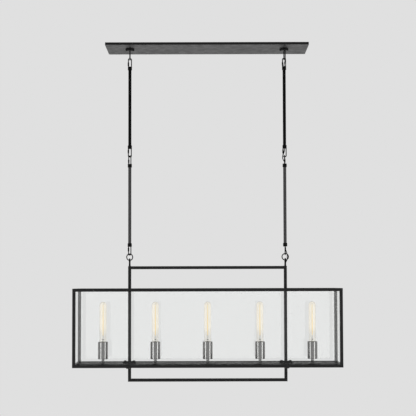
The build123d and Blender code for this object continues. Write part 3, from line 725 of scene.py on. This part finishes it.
def lead_tube(name, points):
    """A round tube along the smooth line that the points pull on."""
    curve = bpy.data.curves.new(name, "CURVE")
    curve.dimensions = "3D"
    curve.bevel_depth = lead_width / 2
    curve.bevel_resolution = 5
    curve.resolution_u = 12
    curve.use_fill_caps = True
    spline = curve.splines.new("NURBS")
    spline.points.add(len(points) - 1)
    for point, place in zip(spline.points, points):
        point.co = (*(part / 1000 for part in place), 1.0)
    spline.order_u = 3
    spline.use_endpoint_u = True
    drawn = in_scene(name, curve)
    bpy.context.view_layer.update()
    mesh = bpy.data.meshes.new_from_object(drawn)
    bpy.data.objects.remove(drawn)
    mesh.shade_smooth()
    return in_scene(name, mesh)


jacket_tones = ((0.008, 0.008, 0.008, 1.0), (0.016, 0.016, 0.016, 1.0))
jacket = clouded("lead_jacket", 260.0, 3.0, jacket_tones, (0.40, 0.55), metallic=0.0, shine=0.4)
for node, points in lead_points.items():
    piece = lead_tube(f"{node}_run", points)
    piece.data.materials.append(jacket)
    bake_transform(piece)
    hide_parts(node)
for node in ("lead_upper_rod", "lead_lower_rod", "wiring_harness"):
    dress(node, jacket)

# The hoop -------------------------------------------------------------
# One tall rectangle of 12 mm square steel tube, mitred, welded and ground flush at its corners. It
# runs lengthways through the lantern and carries it.
tube_size = hoop_high[1] - hoop_low[1]
tube_edge = 0.0007


def square_section(width, depth, edge):
    """A rectangular section with softened corners."""
    return soften(np.array([(-1, -1), (1, -1), (1, 1), (-1, 1)]) * (width / 2, depth / 2), edge)


def rectangle_path(low, high, middle):
    """The four corners of a rectangle between two corners of a box, along its two longer spans."""
    (x0, y0, z0), (x1, y1, z1) = low, high
    if middle == "y":
        y = (y0 + y1) / 2
        return [(x0, y, z0), (x1, y, z0), (x1, y, z1), (x0, y, z1)]
    z = (z0 + z1) / 2
    return [(x0, y0, z), (x1, y0, z), (x1, y1, z), (x0, y1, z)]


tube_inset = np.array([tube_size / 2, 0, tube_size / 2])
hoop_path = rectangle_path(hoop_low + tube_inset, hoop_high - tube_inset, "y")
hoop_ring = carry(square_section(tube_size, tube_size, tube_edge), hoop_path, (0, 1, 0), True)
add_piece("hoop", [hoop_ring], frame_coat, "lantern", "black_metal", "hoop_bars", "hoop_posts")

# The lantern's frame --------------------------------------------------
# Solid 12 mm square bar: a rectangle above and one below, four corner posts, and short bars that
# tie the hoop's posts to the top rails. All welded, ground flush and coated with the hoop.
lantern_low = np.array(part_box("bottom_rails")[0])
lantern_high = np.array(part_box("top_rails")[1])
bar_size = 0.012
bar_edge = 0.0006
tie_edge = 0.0005
post_overlap = 0.0005


def bar(start, end, size, across, edge):
    """A straight bar with softened edges and ends: a rectangular section carried from start to end,
    drawn in at each end by the same edge. The section's second side lies along across."""
    start, end, across = (np.asarray(part, float) for part in (start, end, across))
    along = end - start
    length = np.linalg.norm(along)
    along /= length
    side = np.cross(along, across)
    half = np.asarray(size, float) / 2
    section = square_section(size[0], size[1], edge)
    reach = np.array([0, 0, 0.3, 1, 1.9]) * edge
    inset = np.array([0, 1, 0.3, 0, 0])[:, None] * edge
    scale = (half - inset) / half
    scale[0] = 0
    place = np.concatenate([reach, length - reach[::-1]])
    scale = np.concatenate([scale, scale[::-1]])
    rows = section[None] * scale[:, None]
    grid = start + place[:, None, None] * along + rows[..., :1] * side + rows[..., 1:] * across
    return grid, False


def slab(low, high, edge, axis=0):
    """A bar that fills a box, along one of its axes."""
    low, high = np.asarray(low, float), np.asarray(high, float)
    middle = (low + high) / 2
    start, end = middle.copy(), middle.copy()
    start[axis], end[axis] = low[axis], high[axis]
    other, across_axis = [(1, 2), (0, 2), (0, 1)][axis]
    size = (high[other] - low[other], high[across_axis] - low[across_axis])
    return bar(start, end, size, np.eye(3)[across_axis], edge)


bar_inset = np.array([bar_size / 2, bar_size / 2, 0])
frame_surfaces = []
bar_section = square_section(bar_size, bar_size, bar_edge)
for base in (lantern_low[2], lantern_high[2] - bar_size):
    corner_low = np.array([lantern_low[0], lantern_low[1], base]) + bar_inset
    corner_high = np.array([lantern_high[0], lantern_high[1], base + bar_size]) - bar_inset
    rail_path = rectangle_path(corner_low, corner_high, "z")
    frame_surfaces.append(carry(bar_section, rail_path, (0, 0, 1), True))
posts_low, posts_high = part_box("corner_posts")
for x in (lantern_low[0], lantern_high[0] - bar_size):
    for y in (lantern_low[1], lantern_high[1] - bar_size):
        post_low = (x, y, posts_low[2] - post_overlap)
        post_high = (x + bar_size, y + bar_size, posts_high[2] + post_overlap)
        frame_surfaces.append(slab(post_low, post_high, bar_edge, 2))
frame_nodes = ("top_rails", "bottom_rails", "end_rails", "corner_posts")
add_piece("lantern_frame", frame_surfaces, frame_coat, "lantern", "black_metal", *frame_nodes)


def tie_slabs(node, width):
    """Four short bars from the hoop's posts out to the rails, as high and deep as their node."""
    low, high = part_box(node)
    slabs = []
    for x in (-hang_x, hang_x):
        for near, far in ((low[1], -tube_size / 2), (tube_size / 2, high[1])):
            tie_low, tie_high = (x - width / 2, near, low[2]), (x + width / 2, far, high[2])
            slabs.append(slab(tie_low, tie_high, tie_edge, 1))
    return slabs


for name, node in (("top_ties", "top_cross_bars"), ("straps", "cross_straps")):
    add_piece(name, tie_slabs(node, bar_size), frame_coat, "lantern", "black_metal", node)

# The glass ------------------------------------------------------------
# Clear 3 mm float glass with ground edges: two long panes, and two short ones between them. Clips
# hold them inside the frame.
pane_size = 0.003
pane_edge = 0.0004


def clear_glass(name, tint, roughness, ior=1.5):
    """Clear glass: a mirror and a lens at once, which lets the light of lamps straight through."""
    material, tree = new_finish(name)
    glass = {"Base Color": tint, "Roughness": roughness, "IOR": ior, "Transmission Weight": 1.0}
    shader = set_sockets(tree.nodes["Principled BSDF"], glass)
    rays = tree.nodes.new("ShaderNodeLightPath")
    through = set_sockets(tree.nodes.new("ShaderNodeBsdfTransparent"), {"Color": tint})
    mix = mix_shaders(tree, rays.outputs["Is Shadow Ray"], shader.outputs[0], through.outputs[0])
    tree.links.new(mix, tree.nodes["Material Output"].inputs["Surface"])
    return material, tree


def float_glass(name, tint):
    """Flat panes: they let everything straight through but for the share that they mirror."""
    material, tree = new_finish(name)
    nodes = tree.nodes
    through = set_sockets(nodes.new("ShaderNodeBsdfTransparent"), {"Color": tint})
    mirror = nodes.new("ShaderNodeBsdfAnisotropic")
    set_sockets(mirror, {"Color": (1, 1, 1, 1), "Roughness": 0.0})
    fresnel = set_sockets(nodes.new("ShaderNodeFresnel"), {"IOR": 1.3})
    share = nodes.new("ShaderNodeMath")
    share.operation = "MINIMUM"
    set_sockets(share, {1: 0.08})
    tree.links.new(fresnel.outputs[0], share.inputs[0])
    mix = mix_shaders(tree, share.outputs[0], through.outputs[0], mirror.outputs[0])
    tree.links.new(mix, nodes["Material Output"].inputs["Surface"])
    return material


pane_glass = float_glass("pane_glass", (0.994, 0.997, 0.995, 1.0))
long_low, long_high = np.array(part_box("long_panes"))
short_low, short_high = np.array(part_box("end_panes"))
long_glass = {}
for face, near in (("front", long_low[1]), ("back", long_high[1] - pane_size)):
    pane_low = (long_low[0], near, long_low[2])
    pane_high = (long_high[0], near + pane_size, long_high[2])
    pane = [slab(pane_low, pane_high, pane_edge)]
    long_glass[face] = add_piece(
        f"{face}_glass", pane, pane_glass, "lantern", "pane_glass", "long_panes"
    )
short_panes = []
for near in (short_low[0], short_high[0] - pane_size):
    pane_low = (near, short_low[1], short_low[2])
    pane_high = (near + pane_size, short_high[1], short_high[2])
    short_panes.append(slab(pane_low, pane_high, pane_edge, 1))
add_piece("end_glass", short_panes, pane_glass, "lantern", "pane_glass", "end_panes")

# The clips, the floor, its cover and what fastens them ----------------
# Folded, coated sheet steel: clips that hook over the panes, the floor pan that carries the lights,
# and a cover under it. Solid saddle blocks hold the hoop's posts. Cover and saddles are screwed on.
floor_coat = powder_coat("floor_powder_coat", black, 0.03)
for node in ("glass_clips", "floor_pan", "wireway_cover", "post_saddles"):
    dress(node, floor_coat)


def socket_screw(head, height, seat, facing, place, depth, aside=0.0):
    """A pan-head screw with a hexagonal socket: a turned head whose rows inside the socket follow a
    hexagon, its radius growing from the flats to the corners. It faces up at 1 and down at -1."""
    key = head * 0.2
    outline = [
        (0, 0), (head / 2, 0), (head / 2, 0.35 * height), (0.42 * head, 0.8 * height),
        (0.3 * head, height), (key, height), (key, height - depth), (0, height - depth),
    ]
    grid, ring = turned(outline, 0.0003, (0, 0, 0), 48)
    x, y, z = np.moveaxis(grid, -1, 0)
    radius = np.hypot(x, y)
    angle = np.arctan2(y, x)
    within = (radius < key * 1.02) & (z > height * 0.2)
    sixth = pi / 3
    hexagon = 0.93 / np.cos((angle + sixth / 2) % sixth - sixth / 2)
    scale = np.where(within, hexagon, 1.0)
    return np.stack([x * scale + place, y * scale + aside, seat + facing * z], axis=-1), ring


saddle_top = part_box("post_saddles")[1][2]
saddle_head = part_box("saddle_screws")[1][2] - saddle_top
saddle_head_width = 0.011
saddle_socket = 0.0018
saddle_pitch = 0.035
screws = []
for x in (-hang_x, hang_x):
    for place in (x - saddle_pitch / 2, x + saddle_pitch / 2):
        screw = socket_screw(saddle_head_width, saddle_head, saddle_top, 1, place, saddle_socket)
        screws.append(screw)
add_piece("saddle_socket_screws", screws, frame_coat, "lantern", "black_metal", "saddle_screws")

cover_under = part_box("wireway_cover")[0][2]
cover_head = cover_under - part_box("cover_screws")[0][2]
cover_head_width = 0.006
cover_socket = 0.0010
cover_screw_inset = 0.012
cover_far = lantern_high - bar_size - cover_screw_inset
screws = []
for x in (-cover_far[0], 0.0, cover_far[0]):
    for y in (-cover_far[1], cover_far[1]):
        screw = socket_screw(cover_head_width, cover_head, cover_under, -1, x, cover_socket, y)
        screws.append(screw)
add_piece("cover_socket_screws", screws, frame_coat, "lantern", "black_metal", "cover_screws")

# The cups and their stems ---------------------------------------------
# Deep cups turned from tube, plated with satin nickel and brushed lightly round their axis. Each
# stands on a short sleeve and is held to the floor pan by a threaded nipple.
lamp_x = [0.5 * sum(corner[0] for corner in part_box(f"lamp_{number}_cap")) for number in range(1, 6)]
cup_low, cup_high = np.array(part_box("socket_cups"))
cup_radius = (cup_high[1] - cup_low[1]) / 2
cup_wall = 0.0012
cup_floor = 0.0015
cup_edge = 0.0009
nipple_hole = 0.00505


def satin_nickel(name):
    """Nickel with hair-fine turned lines: noise drawn out round the axis, in gloss and relief."""
    material, tree = new_finish(name)
    nodes = tree.nodes
    set_sockets(nodes["Principled BSDF"], {"Metallic": 1.0})
    place = nodes.new("ShaderNodeTexCoord")
    drawn_out = set_sockets(nodes.new("ShaderNodeMapping"), {"Scale": (14.0, 14.0, 2600.0)})
    hair = set_sockets(nodes.new("ShaderNodeTexNoise"), {"Scale": 1.0, "Detail": 3.0})
    link_chain(
        tree,
        place.outputs["Object"], drawn_out.inputs["Vector"],
        drawn_out.outputs["Vector"], hair.inputs["Vector"],
    )
    lines = hair.outputs["Fac"]
    gloss_by(tree, lines, 0.12, 0.18)
    tone_by(tree, lines, (0.47, 0.465, 0.46, 1.0), (0.51, 0.505, 0.50, 1.0))
    relief_by(tree, lines, 0.06, 0.00002)
    return material


nickel = satin_nickel("satin_nickel")
cup_outline = [
    (nipple_hole, cup_low[2]),
    (cup_radius - cup_edge, cup_low[2]),
    (cup_radius, cup_low[2] + cup_edge),
    (cup_radius, cup_high[2]),
    (cup_radius - cup_wall, cup_high[2]),
    (cup_radius - cup_wall, cup_low[2] + cup_floor),
    (nipple_hole, cup_low[2] + cup_floor),
]
cups = [turned(cup_outline, 0.0004, (x, 0, 0), 72) for x in lamp_x]
add_piece("cups", cups, nickel, "lantern", "nickel", "socket_cups")
stem_low, stem_high = np.array(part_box("stem_sleeves"))
stem_radius = (stem_high[1] - stem_low[1]) / 2
stem_outline = [(radius, stem_low[2]) for radius in (nipple_hole, stem_radius)]
stem_outline += [(radius, stem_high[2]) for radius in (stem_radius, nipple_hole)]
stems = [turned(stem_outline, 0.0003, (x, 0, 0), 40) for x in lamp_x]
add_piece("stems", stems, nickel, "lantern", "nickel", "stem_sleeves")

# The lampholders ------------------------------------------------------
# Holders moulded from black plastic, one inside each cup. Each is screwed onto the top of its
# stem's nipple.
dress("lampholders", moulded_plastic("holder_plastic", (0.02, 0.02, 0.02, 1.0), 0.5))

# The lamps' caps ------------------------------------------------------
# Screw caps rolled from thin brass and nickel-washed, with dull patches, a round-bottomed thread,
# an insulator and a contact.
brass_tones = ((0.50, 0.42, 0.26, 1.0), (0.66, 0.58, 0.40, 1.0))
brass = clouded("rolled_brass", 210.0, 3.0, brass_tones, (0.22, 0.38), metallic=1.0, shine=0.5)
cap_low, cap_high = np.array(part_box("lamp_3_cap"))
cap_radius = (cap_high[1] - cap_low[1]) / 2
cap_base = cap_low[2]
cap_height = cap_high[2] - cap_low[2]
thread_depth = 0.0008
thread_pitch = 0.0036
thread_start = 0.0045
thread_end = 0.0205
cap_wall = 0.0014


def screw_cap(centre):
    """A cap whose wall follows a helix: its radius is a cosine of height over pitch minus angle,
    fading in above the insulator and out below the plain collar; a thin wall closes it inside."""
    share = np.linspace(0, 1, 90)[:, None]
    angle = np.linspace(0, 2 * pi, 60, endpoint=False)[None, :]
    height = thread_start + share * (cap_height - thread_start)
    fade = np.clip((height - thread_start) / 0.002, 0, 1)
    fade = fade * np.clip((thread_end - height) / 0.0015, 0, 1)
    wave = 0.5 - 0.5 * np.cos(2 * pi * height / thread_pitch - angle)
    radius = cap_radius - thread_depth * (1 - wave) * fade - 0.0004 * (1 - fade) * (height < 0.015)
    height = np.broadcast_to(height, radius.shape)
    outer = np.stack([radius * np.cos(angle), radius * np.sin(angle), height], -1)
    inward = (cap_radius - cap_wall) / cap_radius
    wall = outer * (inward, inward, 1)
    foot = outer[:1] * (0.38, 0.38, 1) - (0, 0, 0.0025)
    contact = outer[:1] * (0.36, 0.36, 1) - (0, 0, 0.0045)
    middle = contact[:1] * (0, 0, 1)
    rows = [middle, contact, foot, outer, wall[::-1], wall[:1] * (0, 0, 1)]
    return np.concatenate(rows) + (centre, 0, cap_base), False


# The lamps' glass -----------------------------------------------------
# Straight tube lamps, 28 mm wide, blown thin and clear, with a domed end and a drawn-in neck.
# The glass is washed with warm light along the filament.
glow_colour = (1.0, 0.80, 0.42, 1.0)
glow_strength = 0.036
lamp_tint = (0.99, 0.976, 0.948, 1.0)
lamp_glass, lamp_tree = clear_glass("lamp_glass", lamp_tint, 0.0, 1.45)
glass_low, glass_high = np.array(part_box("lamp_3_glass"))
glass_radius = (glass_high[1] - glass_low[1]) / 2
glass_wall = 0.001
neck_radius = 0.0122
filament_top = glass_high[2] - 0.0113
filament_bottom = filament_top - 0.124


def by_height(tree, values, smooth=False):
    """A value that follows the height in the piece's own coordinates, as map_range gives it."""
    place = tree.nodes.new("ShaderNodeTexCoord")
    parts = tree.nodes.new("ShaderNodeSeparateXYZ")
    rise = map_range(tree, values, smooth)
    tree.links.new(place.outputs["Object"], parts.inputs[0])
    tree.links.new(parts.outputs["Z"], rise.inputs["Value"])
    return rise.outputs[0]


glow_limits = (filament_bottom - 0.002, filament_bottom + 0.034, 0.0, glow_strength)
glow_rise = by_height(lamp_tree, glow_limits, True)
lamp_shader = set_sockets(lamp_tree.nodes["Principled BSDF"], {"Emission Color": glow_colour})
lamp_tree.links.new(glow_rise, lamp_shader.inputs["Emission Strength"])


def tube_lamp(centre):
    """A thin-walled tube: a neck, an S-shaped shoulder, a straight wall and a half-round dome, all
    turned about the lamp's axis, then the same line again one wall further in."""
    rise = np.linspace(0, 1, 9)
    ease = rise * rise * (3 - 2 * rise)
    shoulder = glass_low[2] + 0.006
    neck = [(neck_radius, glass_low[2])]
    neck += list(zip(neck_radius + (glass_radius - neck_radius) * ease, shoulder + 0.006 * rise))
    dome_turn = np.linspace(0, pi / 2, 14)
    dome_centre = glass_high[2] - glass_radius
    dome = zip(glass_radius * np.cos(dome_turn), dome_centre + glass_radius * np.sin(dome_turn))
    outer = np.array(neck + list(dome))
    inner_radius = glass_radius - glass_wall
    inner = outer.copy()
    inner[:, 0] = np.maximum(outer[:, 0] - glass_wall, 0)
    inner[-14:, 0] = inner_radius * np.cos(dome_turn)
    inner[-14:, 1] = dome_centre + inner_radius * np.sin(dome_turn)
    outline = np.concatenate([outer[::-1], inner])
    outline[0, 0] = outline[-1, 0] = 0
    return round_axis(outline, 64, centre), False


# The lamps' insides ---------------------------------------------------
# A flared glass mount pressed round two wires, and one long straight filament that glows warm,
# a little deeper towards its lower end. A small hook steadies its top.
mount_glass = clear_glass("mount_glass", (0.96, 0.97, 0.97, 1.0), 0.02)[0]
wire_radius = 0.00035
filament_radius = 0.0012
mount_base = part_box("lamp_3_filament")[0][2]


def filament_glow():
    """A glowing coat: amber up to 55 mm above its foot, then paler and paler towards its top."""
    material, tree = new_finish("filament_glow")
    coat = {"Base Color": (0.75, 0.58, 0.25, 1.0), "Roughness": 0.6, "Emission Strength": 0.45}
    shader = set_sockets(tree.nodes["Principled BSDF"], coat)
    shade = two_tone(tree, (1.0, 0.68, 0.22, 1.0), (0.76, 0.76, 0.68, 1.0))
    tree.links.new(by_height(tree, (filament_bottom + 0.055, filament_top)), shade.inputs[0])
    tree.links.new(shade.outputs[0], shader.inputs["Emission Color"])
    return material


def mount(centre):
    """The mount: a wide flare that narrows to a stem and ends in a pinched press."""
    outline = [
        (0, 0), (0.0108, 0), (0.0108, 0.0009), (0.0055, 0.0045), (0.0036, 0.011),
        (0.0033, 0.017), (0.0022, 0.0195), (0.0020, 0.026), (0, 0.026),
    ]
    grid, ring = turned(outline, 0.0008, (0, 0, 0), 40)
    grid[..., 1] *= 1 - 0.55 * np.clip((grid[..., 2] - 0.0165) / 0.0035, 0, 1)
    return grid + (centre, 0, mount_base), ring


def wires(centre):
    """Two wires that rise side by side from the flare, bow apart by a sine and meet under the
    filament, and a hooked one at its top."""
    bow = np.linspace(0, 1, 12)
    surfaces = []
    for side in (-1, 1):
        x = centre + side * (0.0012 + 0.0016 * np.sin(pi * bow)) * (1 - bow**3)
        z = mount_base + 0.004 + bow * (filament_bottom - mount_base - 0.003)
        path = np.stack([x, 0 * bow, z], axis=1)
        surfaces.append(carry(round_section(wire_radius, 10), path, (0, 1, 0)))
    curl = np.linspace(0, 1.5 * pi, 14)
    hook_x = np.append(centre, centre + 0.0016 * (1 - np.cos(curl)))
    hook_z = np.append(filament_top - 0.001, filament_top + 0.0022 + 0.0016 * np.sin(curl))
    path = np.stack([hook_x, 0 * hook_x, hook_z], axis=1)
    surfaces.append(carry(round_section(wire_radius, 10), path, (0, 1, 0)))
    return surfaces


def filament(centre):
    """A slender rod with rounded ends, its radius rippling a little where the light sources sit."""
    share = np.linspace(0, 1, 120)
    ends = np.clip(np.minimum(share, 1 - share) / 0.008, 0, 1)
    ripple = 1 + 0.06 * np.cos(2 * pi * share * 40)
    radius = filament_radius * np.sqrt(1 - (1 - ends) ** 2) * ripple
    height = filament_bottom + share * (filament_top - filament_bottom)
    return round_axis(np.stack([radius, height], axis=1), 20, centre), False


glow = filament_glow()
for number, x in enumerate(lamp_x, start=1):
    body = f"lamp_{number}"
    tube_glass = [tube_lamp(x)]
    add_piece(f"{body}_screw_cap", [screw_cap(x)], brass, body, "lamp_cap", f"{body}_cap")
    add_piece(f"{body}_tube", tube_glass, lamp_glass, body, "lamp_glass", f"{body}_glass", sharp=60)
    add_piece(f"{body}_rod", [filament(x)], glow, body, "filament", f"{body}_filament", sharp=80)
    add_piece(f"{body}_mount", [mount(x)], mount_glass, body, "lamp_glass")
    add_piece(f"{body}_wires", wires(x), hidden_zinc, body, "plated_steel", sharp=60)

# The window lamps light the long panes alone, one each. The panes mirror them back at the lens.
for face, window in windows.items():
    lit_by_window = bpy.data.collections.new(f"lit_by_{face}_window")
    lit_by_window.objects.link(long_glass[face])
    window.light_linking.receiver_collection = lit_by_window
